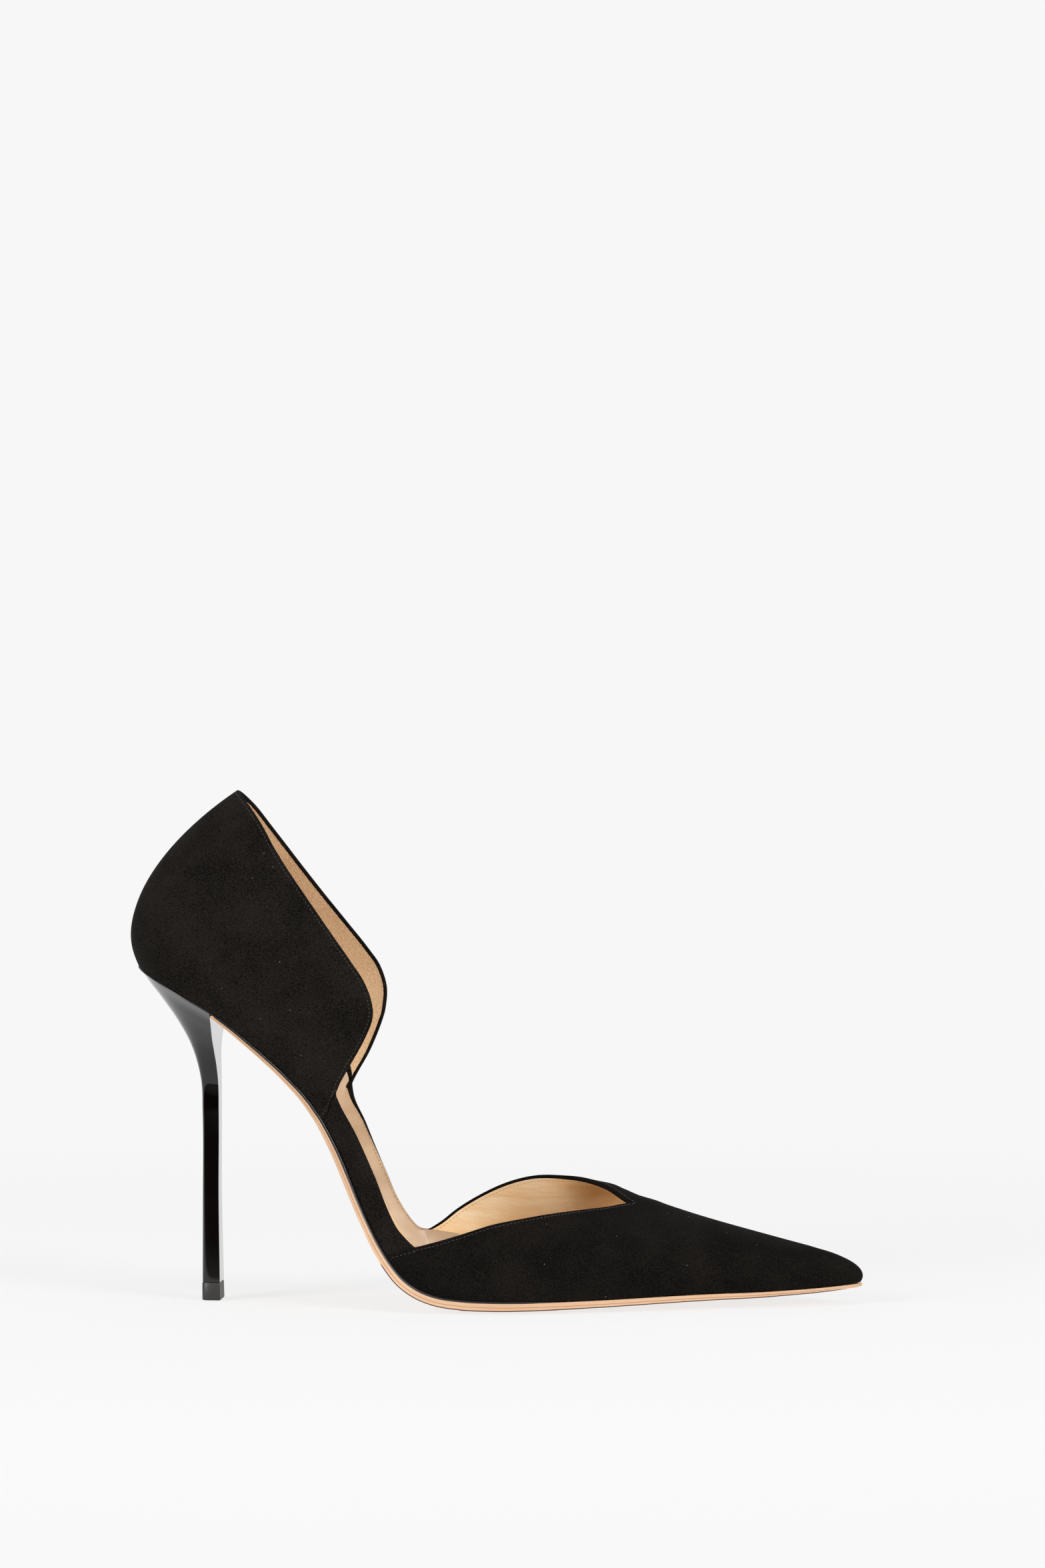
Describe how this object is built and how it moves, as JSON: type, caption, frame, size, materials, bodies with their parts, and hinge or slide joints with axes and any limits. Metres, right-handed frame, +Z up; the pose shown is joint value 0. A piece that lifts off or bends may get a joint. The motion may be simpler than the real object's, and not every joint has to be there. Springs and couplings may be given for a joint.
{
  "type": "dorsay pump",
  "caption": "Pointed right dorsay pump with a high slim heel, its sides cut down to low strips along the arch and its throat cut to a V.",
  "frame": {"origin": "middle of the shoe's length and width, on the floor", "axes": "+X towards the toe, +Y towards the inner side of the foot, +Z up"},
  "size_m": [0.2407, 0.0782, 0.168],
  "materials": {
    "suede": "matt suede nap",
    "sock_leather": "smooth satin leather",
    "sole_leather": "smooth natural sole leather",
    "gloss_cover": "mirror gloss lacquer",
    "top_piece": "satin hard rubber"
  },
  "bodies": {
    "root": {"upper": "suede", "insole": "sock_leather", "outsole": "sole_leather", "heel": "gloss_cover", "heel_top_piece": "top_piece"}
  },
  "joints": []
}
